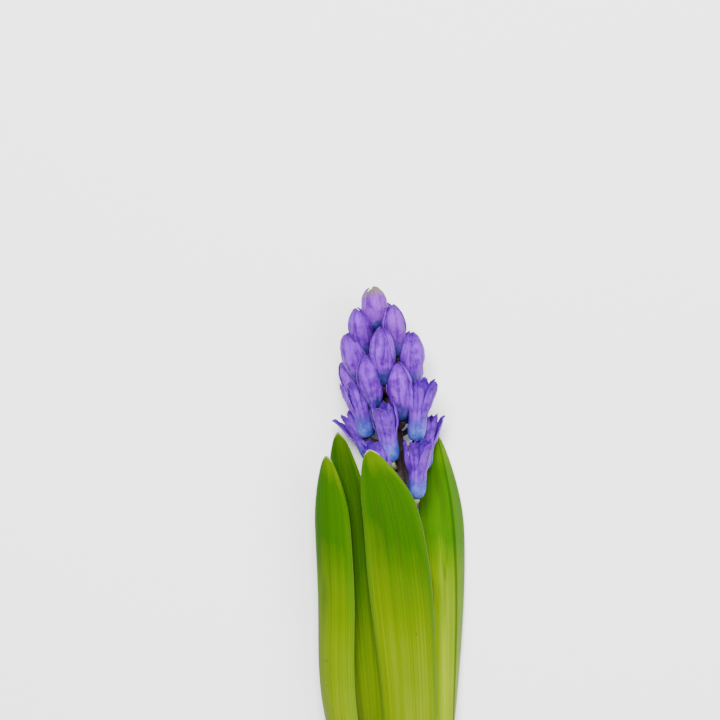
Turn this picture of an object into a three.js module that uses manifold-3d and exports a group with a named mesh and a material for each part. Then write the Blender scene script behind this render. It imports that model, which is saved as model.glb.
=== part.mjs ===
// Hyacinth flower, picked with its leaves and lying on its back.
// Millimetres. +Y runs along the stalk to the tip of the spike, +Z points up from the surface it lies on.
import * as THREE from 'three';
import { mergeVertices } from 'three/addons/utils/BufferGeometryUtils.js';
import Module from 'manifold-3d';

const wasm = await Module();
wasm.setup();

// Driving dimensions
const SEED = 21;
const ROLL_SEED = 3;
const SEAT_GAP = 0.3; // running gap between any two pieces
const STALK_SIDES = 10;
const STALK_STEPS = 10;
const STALK_BASE_RADIUS = 5.3;
const STALK_NECK_RADIUS = 4.7; // where the first florets leave it
const STALK_TIP_RADIUS = 2.0;
const STALK_NECK_Y = 185;
const STALK_TIP_Y = 250;
const PEDICEL_ROOT_RADIUS = 1.1;
const PEDICEL_TOP_RADIUS = 1.5;
const PEDICEL_DROP = 4; // how far below its floret a pedicel leaves the stalk
const PEDICEL_SIDES = 5;
const TEPAL_THICKNESS = 0.7;
const JOIN_TOLERANCE = 0.02; // finest detail kept where bodies are cut or joined
const LEAF_THICKNESS = 2.2;
const LEAF_RIM_THICKNESS = 0.8;

// The stalk's middle line: it rises off the surface and leans to the left in the spike
const STALK_LINE = new THREE.QuadraticBezierCurve3(
  new THREE.Vector3(5, 0, 7.8),
  new THREE.Vector3(10, 150, 21.2),
  new THREE.Vector3(-9.6, STALK_TIP_Y, 21.0),
);

// Six whorls, from the terminal bud down. at: height of the tube bases, dip: how much lower the whorl is
// at its front than at its sides, reach: distance of the tube bases from the stalk's middle line, lean:
// degrees outwards, girth: width of a shut bud or of an open floret's tube, open: 0 shut to 1 recurved
const WHORLS = [
  { count: 1, at: 250.9, dip: 0, reach: 0.0, lean: 0, turn: 0, length: 19.6, girth: 11.6, open: 0 },
  { count: 4, at: 239.6, dip: 0, reach: 8.0, lean: 4, turn: 45, length: 22.6, girth: 10.8, open: 0 },
  { count: 5, at: 227.8, dip: 0, reach: 10.4, lean: 7, turn: 0, length: 25.2, girth: 11.6, open: 0 },
  { count: 5, at: 216.6, dip: 0.8, reach: 9.8, lean: 8, turn: 36, length: 26.2, girth: 11.6, open: 0 },
  { count: 5, at: 205.0, dip: 8, reach: 11.2, lean: 12, turn: -8, length: 26.4, girth: 8.4, open: 0.28 },
  { count: 5, at: 188.0, dip: 9, reach: 11.2, lean: 13, turn: 36, length: 25.0, girth: 8.0, open: 0.42 },
];
const TURN_SPREAD = 10; // degrees of seeded draw on a floret's place round the stalk
const HEIGHT_SPREAD = 3.2; // millimetres of seeded draw along the stalk
const LEAN_SPREAD = 3; // degrees
const SIZE_SPREAD = 0.08; // share of a floret's length
const OPEN_SPREAD = 0.2;
const BUD_ROLLS = [25, 40]; // degrees that a bud is turned about its own axis, to one side or the other

// Single florets, by number, that stand otherwise than their draw: turn, lean and sway (a lean to the right)
// in degrees, at in millimetres
const NUDGES = {
  1: { sway: 5 },
  2: { turn: 9, sway: 1 },
  5: { turn: -9, at: 2.6, lean: -3 },
  6: { turn: -8, at: -0.8, sway: 7 },
  7: { turn: 9, at: -2.6, lean: 3 },
  9: { lean: 5 },
  11: { turn: -13, at: -3.8, sway: -2 },
  14: { lean: 9 },
  15: { at: 1.4, sway: 3 },
  17: { turn: -10, at: 1.6, sway: 4 },
  20: { at: 2.4, sway: 5 },
  21: { at: -1.2 },
  24: { at: 4.6, lean: 12 },
};

// How far the florets underneath, pressed against the surface, give up their lean and their opening
const PRESSED_LEAN = 0.55;
const PRESSED_OPENING = 0.8;

// Leaves. collar: how the leaf starts, wrapped round the stalk, with its roll, its half arc and its layer.
// line: points of the middle line further up (x, y, z); form: half width, roll and curl at the same points.
// Roll 0 faces up and 90 faces right. Curl is half the arc that the blade bends through. All in degrees.
const COLLAR_HEIGHT = 14;
const LEAVES = {
  leaf_front: {
    collar: { roll: 0, curl: 42, layer: 0 },
    line: [[5.2, 50, 23.0], [4.2, 95, 29.6], [0.0, 145, 38.4], [-5.0, 178, 45.0], [-13.0, 200.6, 48.0]],
    form: [[12.0, 0, 44], [13.6, 3, 42], [15.0, 4, 34], [12.8, 2, 30], [9.0, -4, 36]],
    keel: 0.1,
  },
  leaf_left_outer: {
    collar: { roll: -44, curl: 40, layer: 1 },
    line: [[-18.8, 50, 21.0], [-28.4, 90, 25.4], [-29.2, 140, 28.2], [-30.6, 172, 29.0], [-31.8, 197.6, 28.0]],
    form: [[9.6, -52, 42], [10.6, -40, 38], [10.2, -32, 34], [9.4, -28, 34], [6.8, -24, 38]],
    keel: 0.25,
  },
  leaf_left_inner: {
    collar: { roll: -90, curl: 42, layer: 0 },
    line: [[-10.2, 50, 10.2], [-15.6, 90, 14.0], [-20.6, 140, 15.6], [-23.2, 175, 16.0], [-26.8, 207.5, 15.2]],
    form: [[8.6, -66, 36], [10.8, -40, 30], [11.4, -25, 28], [10.6, -20, 28], [7.4, -16, 34]],
    keel: 0.2,
  },
  leaf_right: {
    collar: { roll: 90, curl: 42, layer: 0 },
    line: [[19.6, 50, 11.0], [20.6, 90, 13.4], [21.2, 140, 12.0], [19.4, 172, 9.2], [15.6, 206.8, 5.6]],
    form: [[8.0, 68, 44], [10.8, 44, 40], [11.6, 30, 38], [10.8, 22, 36], [7.4, 14, 40]],
    keel: 0.5,
  },
  leaf_under: {
    collar: { roll: 180, curl: 42, layer: 0 },
    line: [[2.6, 50, 0.0], [0.4, 80, 0.0], [-1.0, 120, 0.0], [-1.4, 150, 0.0], [-1.0, 174, 0.0]],
    form: [[10.6, 180, 28], [12.2, 180, 24], [12.4, 180, 24], [11.0, 180, 26], [8.0, 180, 30]],
    keel: 0.0,
  },
};
const LEAF_ROWS = 16;
const LEAF_COLUMNS = 6;
const LEAF_ROW_CROWDING = 1.75; // rows stand closer towards the rounded tip
const LEAF_ROUND_FROM = 0.8; // where along its line a leaf starts to narrow to its rounded tip
const UNDER_LEAF_PRESS = 1.2; // how far the resting leaf is pressed flat on the surface

// Colours
const FINISHES = {
  bud: { color: 0x8d6fd0, roughness: 0.5 },
  bloom: { color: 0x6f58cf, roughness: 0.5 },
  stalk: { color: 0x4a3436, roughness: 0.55 },
  leaf: { color: 0x7ba31c, roughness: 0.45 },
};

const degrees = THREE.MathUtils.degToRad;
const vector = (x, y, z) => new THREE.Vector3(x, y, z);

// Seeded draws: the same numbers on every run
function seeded(seed) {
  let state = seed;
  return () => {
    state = (state + 0x6d2b79f5) | 0;
    let mixed = Math.imul(state ^ (state >>> 15), 1 | state);
    mixed = (mixed + Math.imul(mixed ^ (mixed >>> 7), 61 | mixed)) ^ mixed;
    return ((mixed ^ (mixed >>> 14)) >>> 0) / 4294967296;
  };
}
const draw = seeded(SEED);
const drawRoll = seeded(ROLL_SEED);
const spread = (amount) => (draw() - 0.5) * amount;

// Mesh building
class Facets {
  constructor() {
    this.points = [];
    this.faces = [];
  }

  add(point) {
    this.points.push(point.x, point.y, point.z);
    return this.points.length / 3 - 1;
  }

  triangle(a, b, c) {
    this.faces.push(a, b, c);
  }

  quad(a, b, c, d) {
    this.triangle(a, b, c);
    this.triangle(a, c, d);
  }

  geometry() {
    const geometry = new THREE.BufferGeometry();
    geometry.setAttribute('position', new THREE.Float32BufferAttribute(this.points, 3));
    geometry.setIndex(this.faces);
    return geometry;
  }
}

// A closed body through rings of points, each ring counter-clockwise seen from the far end
function loft(rings) {
  const facets = new Facets();
  const rows = rings.map((ring) => ring.map((point) => facets.add(point)));
  const count = rings[0].length;
  for (let row = 0; row + 1 < rows.length; row += 1) {
    for (let i = 0; i < count; i += 1) {
      const next = (i + 1) % count;
      facets.quad(rows[row][i], rows[row][next], rows[row + 1][next], rows[row + 1][i]);
    }
  }
  const centre = (ring) => {
    const sum = ring.reduce((total, point) => total.add(point), vector(0, 0, 0));
    return facets.add(sum.divideScalar(count));
  };
  const start = centre(rings[0]);
  const end = centre(rings[rings.length - 1]);
  for (let i = 0; i < count; i += 1) {
    const next = (i + 1) % count;
    facets.triangle(start, rows[0][next], rows[0][i]);
    facets.triangle(end, rows[rows.length - 1][i], rows[rows.length - 1][next]);
  }
  return facets.geometry();
}

// A tube with round sections along a curve, radius given by a function of 0 to 1
function tube(curve, steps, sides, radiusAt) {
  const frames = curve.computeFrenetFrames(steps, false);
  const rings = [];
  for (let step = 0; step <= steps; step += 1) {
    const middle = curve.getPointAt(step / steps);
    const ring = [];
    for (let i = 0; i < sides; i += 1) {
      const angle = (i / sides) * Math.PI * 2;
      const arm = frames.normals[step].clone().multiplyScalar(Math.cos(angle));
      arm.addScaledVector(frames.binormals[step], Math.sin(angle));
      ring.push(middle.clone().addScaledVector(arm, radiusAt(step / steps)));
    }
    rings.push(ring);
  }
  return loft(rings);
}

// Manifold solids: join and cut only
function solid(geometry) {
  const bare = geometry.clone();
  bare.deleteAttribute('normal');
  bare.deleteAttribute('uv');
  const merged = mergeVertices(bare, 1e-5);
  return new wasm.Manifold(new wasm.Mesh({
    numProp: 3,
    vertProperties: new Float32Array(merged.attributes.position.array),
    triVerts: new Uint32Array(merged.index.array),
  }));
}

function geometryOf(body) {
  const mesh = body.getMesh();
  const geometry = new THREE.BufferGeometry();
  geometry.setAttribute('position', new THREE.Float32BufferAttribute(mesh.vertProperties, 3));
  geometry.setIndex(Array.from(mesh.triVerts));
  geometry.computeVertexNormals();
  return geometry;
}

// Keeps the largest body of a cut and drops loose scraps
function largest(body) {
  const bodies = body.setTolerance(JOIN_TOLERANCE).decompose();
  bodies.sort((one, other) => other.volume() - one.volume());
  return bodies[0];
}

// The stalk's middle line at a height, with its directions: along, front (up) and side (right)
function stalkFrame(y) {
  let low = 0;
  let high = 1;
  for (let pass = 0; pass < 30; pass += 1) {
    const middle = (low + high) / 2;
    if (STALK_LINE.getPoint(middle).y < y) low = middle;
    else high = middle;
  }
  const point = STALK_LINE.getPoint(low);
  const along = STALK_LINE.getTangent(low);
  const front = vector(0, 0, 1).addScaledVector(along, -along.z).normalize();
  const side = along.clone().cross(front).normalize();
  return { point, along, front, side };
}

function stalkRadius(y) {
  if (y < STALK_NECK_Y) return THREE.MathUtils.mapLinear(y, 0, STALK_NECK_Y, STALK_BASE_RADIUS, STALK_NECK_RADIUS);
  return THREE.MathUtils.mapLinear(y, STALK_NECK_Y, STALK_TIP_Y, STALK_NECK_RADIUS, STALK_TIP_RADIUS);
}

// Florets
function layFlorets() {
  const florets = [];
  WHORLS.forEach((whorl, level) => {
    for (let i = 0; i < whorl.count; i += 1) {
      const alone = whorl.count === 1;
      const nudge = { turn: 0, at: 0, lean: 0, sway: 0, ...NUDGES[florets.length + 1] };
      const around = whorl.turn + (i * 360) / whorl.count + nudge.turn;
      const angle = degrees(around + (alone ? 0 : spread(TURN_SPREAD)));
      const at = whorl.at - whorl.dip * Math.cos(angle) + nudge.at + (alone ? 0 : spread(HEIGHT_SPREAD));
      const pressed = Math.max(0, -Math.cos(angle));
      const drawnLean = (whorl.lean + (alone ? 0 : spread(LEAN_SPREAD))) * (1 - PRESSED_LEAN * pressed);
      const lean = degrees(drawnLean + nudge.lean);
      const open = whorl.open ? (whorl.open + spread(OPEN_SPREAD)) * (1 - PRESSED_OPENING * pressed) : 0;
      const size = 1 + spread(SIZE_SPREAD);
      const frame = stalkFrame(Math.min(at, STALK_TIP_Y));
      const out = frame.front.clone().multiplyScalar(Math.cos(angle)).addScaledVector(frame.side, Math.sin(angle));
      const base = frame.point.clone().addScaledVector(frame.along, at - frame.point.y);
      base.addScaledVector(out, whorl.reach);
      const axis = frame.along.clone().multiplyScalar(Math.cos(lean)).addScaledVector(out, Math.sin(lean));
      axis.addScaledVector(frame.side, Math.tan(degrees(nudge.sway))).normalize();
      const side = drawRoll() * 2 - 1;
      const roll = open ? 0 : degrees(Math.sign(side) * THREE.MathUtils.lerp(...BUD_ROLLS, Math.abs(side)));
      florets.push({ level, out, base, axis, at, open, roll, length: whorl.length * size, girth: whorl.girth });
    }
  });
  return florets;
}

// Places a geometry built along +Y from the origin at a floret's base, its +Z side turned outwards
function place(geometry, floret) {
  const up = floret.axis;
  const outward = floret.out.clone().addScaledVector(up, -floret.out.dot(up)).normalize();
  const right = up.clone().cross(outward);
  const matrix = new THREE.Matrix4().makeBasis(right, up, outward);
  matrix.setPosition(floret.base);
  return geometry.clone().rotateY(floret.roll).applyMatrix4(matrix);
}

// A shut bud: a swollen tube under three outer tepals, whose edges leave grooves with the inner ones behind
const BUD_SECTION = [[-40, 1.0], [0, 1.04], [40, 1.0], [60, 0.86]];
const BUD_PROFILE = [
  [0.0, 0.3], [0.06, 0.42], [0.2, 0.63], [0.38, 0.88], [0.54, 1.0], [0.72, 0.93], [0.89, 0.62], [1.0, 0.18],
];

function budGeometry({ length, girth }, grow) {
  const rings = BUD_PROFILE.map(([along, width]) => {
    const height = along * (length + 2 * grow) - grow;
    const relief = THREE.MathUtils.smoothstep(along, 0.1, 0.5);
    const ring = [];
    for (let lobe = 0; lobe < 3; lobe += 1) {
      for (const [turn, reach] of BUD_SECTION) {
        const angle = degrees(lobe * 120 + turn);
        const radius = (girth / 2) * width * THREE.MathUtils.lerp(1, reach, relief) + grow;
        ring.push(vector(Math.sin(angle) * radius, height, Math.cos(angle) * radius));
      }
    }
    return ring;
  });
  return loft(rings);
}

// An opening floret: a swollen tube that divides into six tepals, the outer three leaning out further
const TUBE_PROFILE = [[0.0, 0.5], [0.05, 0.8], [0.16, 1.0], [0.3, 0.94]];
const TUBE_DIVIDES_AT = 0.42;
const TUBE_FLOOR_AT = 0.24;
const TEPAL_STEPS = [0.24, 0.52, 0.8, 0.96];
const TEPAL_WIDTHS = [0.72, 1.0, 0.84, 0.4];
const TEPAL_HALF_WIDTHS = [0.122, 0.1]; // of outer and inner tepals, as a share of the floret's length
const TEPAL_LAYER = 0.75; // outer tepals stand this far out of the common circle, inner ones this far in
const STALK_SIDE_OPENING = 0.12; // share of the opening that a tepal next to the stalk takes part in

// One tepal's middle line in its own radial plane: distance from the axis, height and tilt from the axis.
// Shut, it swells out of the tube and closes over the bloom. Open, its upper half curves outwards.
function tepalLine(floret, tepal, at) {
  const steps = 16;
  const outer = tepal % 2 === 0;
  const length = floret.length * (1 - TUBE_DIVIDES_AT);
  const faces = (1 + Math.cos(degrees(tepal * 60))) / 2;
  const opening = floret.open * THREE.MathUtils.lerp(STALK_SIDE_OPENING, 1, faces) * (outer ? 1 : 0.7);
  const layer = (outer ? TEPAL_LAYER : -TEPAL_LAYER) * Math.min(1, at / TEPAL_STEPS[0]);
  let radius = floret.girth * 0.48 + layer;
  let height = floret.length * TUBE_DIVIDES_AT;
  let tilt = 0;
  for (let step = 0; step < steps * at; step += 1) {
    const done = (step + 0.5) / steps;
    tilt = degrees(17 - 52 * done ** 1.6 + opening * 150 * done ** 2);
    radius += (Math.sin(tilt) * length) / steps;
    height += (Math.cos(tilt) * length) / steps;
  }
  return { radius, height, tilt };
}

function openGeometry(floret) {
  const facets = new Facets();
  const half = floret.girth / 2;
  const wall = TEPAL_THICKNESS;
  const ringAt = (height, radius) => {
    const ring = [];
    for (let i = 0; i < 12; i += 1) {
      const angle = degrees(i * 30);
      const reach = radius * (i % 2 ? 0.97 : 1);
      ring.push(facets.add(vector(Math.sin(angle) * reach, height, Math.cos(angle) * reach)));
    }
    return ring;
  };
  const join = (low, high) => {
    for (let i = 0; i < 12; i += 1) {
      const next = (i + 1) % 12;
      facets.quad(low[i], low[next], high[next], high[i]);
    }
  };
  const rimHeight = floret.length * TUBE_DIVIDES_AT;
  const outerRings = TUBE_PROFILE.map(([along, width]) => ringAt(along * floret.length, half * width));
  outerRings.push(ringAt(rimHeight, half * 0.96 + wall / 2));
  for (let row = 0; row + 1 < outerRings.length; row += 1) join(outerRings[row], outerRings[row + 1]);
  const bottom = facets.add(vector(0, 0, 0));
  const outerRim = outerRings[outerRings.length - 1];
  const innerRim = ringAt(rimHeight, half * 0.96 - wall / 2);
  const floorRing = ringAt(floret.length * TUBE_FLOOR_AT, half * 0.5);
  join(floorRing.slice().reverse(), innerRim.slice().reverse());
  const floor = facets.add(vector(0, floret.length * TUBE_FLOOR_AT, 0));
  for (let i = 0; i < 12; i += 1) {
    const next = (i + 1) % 12;
    facets.triangle(bottom, outerRings[0][next], outerRings[0][i]);
    facets.triangle(floor, floorRing[i], floorRing[next]);
  }

  for (let tepal = 0; tepal < 6; tepal += 1) {
    const angle = degrees(tepal * 60);
    const radial = vector(Math.sin(angle), 0, Math.cos(angle));
    const lateral = vector(Math.cos(angle), 0, -Math.sin(angle));
    const middle = tepal * 2;
    const left = (middle + 1) % 12;
    const right = (middle + 11) % 12;
    let last = {
      outer: [outerRim[right], outerRim[middle], outerRim[left]],
      inner: [innerRim[right], innerRim[middle], innerRim[left]],
    };
    const link = (low, high) => {
      for (let i = 0; i < 2; i += 1) {
        facets.quad(low.outer[i], low.outer[i + 1], high.outer[i + 1], high.outer[i]);
        facets.quad(low.inner[i + 1], low.inner[i], high.inner[i], high.inner[i + 1]);
      }
      facets.quad(low.inner[0], low.outer[0], high.outer[0], high.inner[0]);
      facets.quad(low.outer[2], low.inner[2], high.inner[2], high.outer[2]);
    };
    TEPAL_STEPS.forEach((at, row) => {
      const line = tepalLine(floret, tepal, at);
      const centre = radial.clone().multiplyScalar(line.radius);
      centre.y = line.height;
      const normal = radial.clone().multiplyScalar(Math.cos(line.tilt));
      normal.y = -Math.sin(line.tilt);
      const width = floret.length * TEPAL_HALF_WIDTHS[tepal % 2] * TEPAL_WIDTHS[row];
      const curl = width * 0.3;
      const points = (offset) => [-1, 0, 1].map((place) => {
        const point = centre.clone().addScaledVector(lateral, place * width);
        point.addScaledVector(normal, offset - Math.abs(place) * curl);
        return facets.add(point);
      });
      const next = { outer: points(wall / 2), inner: points(-wall / 2) };
      link(last, next);
      last = next;
    });
    const outerEnd = last.outer;
    const innerEnd = last.inner;
    facets.quad(innerEnd[0], outerEnd[0], outerEnd[1], innerEnd[1]);
    facets.quad(innerEnd[1], outerEnd[1], outerEnd[2], innerEnd[2]);
  }
  return facets.geometry();
}

// The room that an opening floret takes, as one plain body round its tube and its tepals
const ROOM_STEPS = [0, 0.24, 0.52, 0.8, 1];
const ROOM_MARGIN = 0.15;
const NEIGHBOUR_REACH = 34; // florets further apart than this never touch

function roomGeometry(floret, gap) {
  const half = floret.girth / 2;
  const ringOf = (placeAt) => {
    const ring = [];
    for (let i = 0; i < 12; i += 1) {
      const angle = degrees(i * 30);
      const { radius, height } = placeAt(i / 2);
      ring.push(vector(Math.sin(angle) * radius, height, Math.cos(angle) * radius));
    }
    return ring;
  };
  const rings = TUBE_PROFILE.map(([along, width]) => ringOf(() => (
    { radius: half * width + gap, height: along * floret.length - (along ? 0 : gap) })));
  const skin = TEPAL_THICKNESS / 2 + gap;
  for (const at of ROOM_STEPS) {
    rings.push(ringOf((turn) => {
      const before = tepalLine(floret, Math.floor(turn), at);
      const after = tepalLine(floret, Math.ceil(turn) % 6, at);
      const outermost = before.radius > after.radius ? before : after;
      return { radius: outermost.radius + skin, height: outermost.height + (at === 1 ? gap : 0) };
    }));
  }
  return loft(rings);
}

// The lower florets lie outside the upper ones, whose tubes give way where they touch
function makeFlorets(florets) {
  const placed = [];
  const rooms = [];
  const order = florets.map((floret, index) => index).sort((one, other) => florets[other].level - florets[one].level);
  for (const index of order) {
    const floret = florets[index];
    const { open } = floret;
    let body = solid(place(open ? openGeometry(floret) : budGeometry(floret, 0), floret));
    for (const room of rooms) {
      if (room.base.distanceTo(floret.base) < NEIGHBOUR_REACH && body.intersect(room.body).volume() > 0) {
        body = body.subtract(room.body);
      }
    }
    placed[index] = largest(body);
    const room = open ? roomGeometry(floret, SEAT_GAP + ROOM_MARGIN) : budGeometry(floret, SEAT_GAP);
    rooms.push({ base: floret.base, body: solid(place(room, floret)) });
  }
  return { placed, rooms };
}

// The stalk with its pedicels
function makeScape(florets, rooms) {
  const radiusAt = (part) => stalkRadius(STALK_LINE.getPointAt(part).y);
  let body = solid(tube(STALK_LINE, STALK_STEPS, STALK_SIDES, radiusAt));
  for (const floret of florets) {
    const root = stalkFrame(Math.min(floret.at, STALK_TIP_Y) - PEDICEL_DROP);
    const seat = floret.base.clone().addScaledVector(floret.axis, -SEAT_GAP);
    const below = seat.clone().addScaledVector(floret.axis, -PEDICEL_DROP * 0.8);
    const curve = new THREE.QuadraticBezierCurve3(root.point, below, seat);
    const radius = (part) => THREE.MathUtils.lerp(PEDICEL_ROOT_RADIUS, PEDICEL_TOP_RADIUS, part);
    body = body.add(solid(tube(curve, 3, PEDICEL_SIDES, radius)));
  }
  for (const room of rooms) {
    if (body.intersect(room.body).volume() > 0.02) body = body.subtract(room.body);
  }
  return largest(body);
}

// A strap leaf: a channelled blade, thick in the middle and thin at its rims, with a hooded tip
function leafRings({ collar, line, form, keel }, shape) {
  const reach = STALK_BASE_RADIUS + (collar.layer + 1) * (SEAT_GAP + LEAF_THICKNESS);
  const outwards = vector(Math.sin(degrees(collar.roll)), 0, Math.cos(degrees(collar.roll)));
  const wrapped = [0, COLLAR_HEIGHT].map((y) => stalkFrame(y).point.addScaledVector(outwards, reach));
  const wrappedForm = vector(reach * degrees(collar.curl), collar.roll, collar.curl);
  const middleLine = new THREE.CatmullRomCurve3([...wrapped, ...line.map((point) => vector(...point))]);
  const formLine = new THREE.CatmullRomCurve3(
    [wrappedForm, wrappedForm.clone(), ...form.map((point) => vector(...point))]);
  const rings = [];
  for (let row = 0; row <= LEAF_ROWS; row += 1) {
    const at = 1 - (1 - row / LEAF_ROWS) ** LEAF_ROW_CROWDING;
    const middle = middleLine.getPoint(at);
    const { x: fullWidth, y: roll, z: curl } = formLine.getPoint(at);
    const rounding = Math.max(0, (at - LEAF_ROUND_FROM) / (1 - LEAF_ROUND_FROM));
    const halfWidth = Math.max(fullWidth * Math.sqrt(1 - rounding ** 2), 0.9);
    const bend = degrees(curl);
    const radius = halfWidth / bend;
    const outward = vector(Math.sin(degrees(roll)), 0, Math.cos(degrees(roll)));
    const lateral = vector(Math.cos(degrees(roll)), 0, -Math.sin(degrees(roll)));
    const outer = [];
    const inner = [];
    for (let column = 0; column <= LEAF_COLUMNS; column += 1) {
      const side = (column / LEAF_COLUMNS) * 2 - 1;
      const turn = bend * side;
      const fold = keel * halfWidth * (0.35 - Math.abs(side) * 0.35);
      const point = middle.clone().addScaledVector(lateral, radius * Math.sin(turn));
      point.addScaledVector(outward, radius * (Math.cos(turn) - 1) + fold);
      const normal = lateral.clone().multiplyScalar(Math.sin(turn)).addScaledVector(outward, Math.cos(turn));
      const thin = Math.min(1, 0.4 + halfWidth / 8);
      const thickness = THREE.MathUtils.lerp(LEAF_THICKNESS * thin, LEAF_RIM_THICKNESS, side * side);
      outer.push(point);
      inner.push(point.clone().addScaledVector(normal, -thickness));
    }
    if (shape) shape(outer, inner);
    rings.push([...outer, ...inner.reverse()]);
  }
  return rings;
}

// The closed body of a leaf: both faces split into triangles alike
function leafGeometry(leaf, shape) {
  const facets = new Facets();
  const rows = leafRings(leaf, shape).map((ring) => ring.map((point) => facets.add(point)));
  const count = rows[0].length;
  const turns = LEAF_COLUMNS + 1;
  for (let row = 0; row + 1 < rows.length; row += 1) {
    const low = rows[row];
    const high = rows[row + 1];
    for (let i = 0; i < LEAF_COLUMNS; i += 1) {
      const a = count - 1 - i;
      facets.triangle(low[i], low[i + 1], high[i]);
      facets.triangle(high[i], low[i + 1], high[i + 1]);
      facets.triangle(low[a - 1], low[a], high[a]);
      facets.triangle(low[a - 1], high[a], high[a - 1]);
    }
    facets.quad(low[count - 1], low[0], high[0], high[count - 1]);
    facets.quad(low[turns - 1], low[turns], high[turns], high[turns - 1]);
  }
  const first = rows[0];
  const last = rows[rows.length - 1];
  for (let i = 0; i < LEAF_COLUMNS; i += 1) {
    const a = count - 1 - i;
    facets.quad(first[i + 1], first[i], first[a], first[a - 1]);
    facets.quad(last[i], last[i + 1], last[a - 1], last[a]);
  }
  return facets.geometry();
}

// The leaf underneath is pressed flat where it lies on the surface
function pressFlat(outer, inner) {
  outer.forEach((point, i) => {
    const thickness = inner[i].z - point.z;
    point.z = Math.max(0, point.z - UNDER_LEAF_PRESS);
    inner[i].z = point.z + Math.max(thickness, LEAF_RIM_THICKNESS);
  });
}

function makeLeaf(name) {
  return solid(leafGeometry(LEAVES[name], name === 'leaf_under' ? pressFlat : null));
}

// Assembly
const hyacinth = new THREE.Group();
hyacinth.name = 'hyacinth';

function addPiece(name, body, finish) {
  const material = new THREE.MeshStandardMaterial({ ...FINISHES[finish], metalness: 0 });
  const mesh = new THREE.Mesh(geometryOf(body), material);
  mesh.name = name;
  hyacinth.add(mesh);
}

const florets = layFlorets();
const { placed, rooms } = makeFlorets(florets);
addPiece('scape', makeScape(florets, rooms), 'stalk');
placed.forEach((body, index) => {
  const number = String(index + 1).padStart(2, '0');
  addPiece(`floret_${number}`, body, florets[index].open ? 'bloom' : 'bud');
});
for (const name of Object.keys(LEAVES)) addPiece(name, makeLeaf(name), 'leaf');

// The origin is at the middle of the footprint, on the surface
const box = new THREE.Box3().setFromObject(hyacinth);
const middle = box.getCenter(vector(0, 0, 0));
hyacinth.position.set(-middle.x, -middle.y, -box.min.z);
hyacinth.updateMatrixWorld(true);

export default hyacinth;
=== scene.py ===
import math
import random
from collections import namedtuple

import bmesh
import bpy
from bpy.props import FloatProperty, FloatVectorProperty, PointerProperty
from mathutils import Matrix, Vector, noise


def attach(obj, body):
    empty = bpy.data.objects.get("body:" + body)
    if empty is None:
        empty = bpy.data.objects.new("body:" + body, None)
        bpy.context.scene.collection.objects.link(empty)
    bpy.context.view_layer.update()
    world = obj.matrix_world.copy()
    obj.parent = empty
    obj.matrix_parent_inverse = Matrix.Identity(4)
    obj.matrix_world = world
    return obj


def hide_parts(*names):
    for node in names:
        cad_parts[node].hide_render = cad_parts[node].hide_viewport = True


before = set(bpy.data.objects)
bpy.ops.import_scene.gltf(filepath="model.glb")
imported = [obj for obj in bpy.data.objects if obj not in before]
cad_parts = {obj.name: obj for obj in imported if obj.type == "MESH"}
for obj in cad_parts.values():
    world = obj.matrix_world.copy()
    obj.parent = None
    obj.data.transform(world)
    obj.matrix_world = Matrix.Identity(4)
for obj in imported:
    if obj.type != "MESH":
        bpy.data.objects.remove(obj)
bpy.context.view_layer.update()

bl_info = {
    "name": "Hyacinth Flower",
    "version": (1, 0, 0),
    "blender": (4, 5, 0),
    "location": "3D View > Sidebar > Hyacinth",
    "description": "Dresses a cut hyacinth: its stalk, shut buds, opening florets and leaves",
    "category": "Object",
}

MM = 0.001

# The plant's plan, in millimetres. The solids follow it too, with thin leaf rims and a narrower right leaf
PLAN_ORIGIN = Vector((4.1569, -134.9351, 0.0))
SEED = 21
ROLL_SEED = 3
SEAT_GAP = 0.3
STALK_LINE = [Vector((5.0, 0.0, 7.8)), Vector((10.0, 150.0, 21.2)), Vector((-9.6, 250.0, 21.0))]
STALK_TIP_Y = 250.0
STALK_NECK_Y = 185.0
STALK_RADII = (5.3, 4.7, 2.0)
PEDICEL_RADII = (1.1, 1.5)
PEDICEL_DROP = 4.0
# Whorls from the terminal bud down: count, height, dip, reach, lean, turn, length, girth and opening
WHORLS = [
    (1, 250.9, 0.0, 0.0, 0, 0, 19.6, 11.6, 0.0),
    (4, 239.6, 0.0, 8.0, 4, 45, 22.6, 10.8, 0.0),
    (5, 227.8, 0.0, 10.4, 7, 0, 25.2, 11.6, 0.0),
    (5, 216.6, 0.8, 9.8, 8, 36, 26.2, 11.6, 0.0),
    (5, 205.0, 8.0, 11.2, 12, -8, 26.4, 8.4, 0.28),
    (5, 188.0, 9.0, 11.2, 13, 36, 25.0, 8.0, 0.42),
]
TURN_SPREAD = 10
HEIGHT_SPREAD = 3.2
LEAN_SPREAD = 3
SIZE_SPREAD = 0.08
OPEN_SPREAD = 0.2
BUD_ROLLS = (25, 40)
# Florets, by number, that stand otherwise than drawn: turn, height, lean and sway (to the right)
NUDGES = {
    1: (0, 0.0, 0, 5), 2: (9, 0.0, 0, 1), 5: (-9, 2.6, -3, 0), 6: (-8, -0.8, 0, 7), 7: (9, -2.6, 3, 0),
    9: (0, 0.0, 5, 0), 11: (-13, -3.8, 0, -2), 14: (0, 0.0, 9, 0), 15: (0, 1.4, 0, 3), 17: (-10, 1.6, 0, 4),
    20: (0, 2.4, 0, 5), 21: (0, -1.2, 0, 0), 24: (0, 4.6, 12, 0),
}
# Buds whose tepals begin to part, by number: how far their tips stand off, in millimetres
PARTING_BUDS = {1: 0.5, 2: 0.3, 10: 1.3, 14: 1.6}
PRESSED_LEAN = 0.55
PRESSED_OPENING = 0.8
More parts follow.
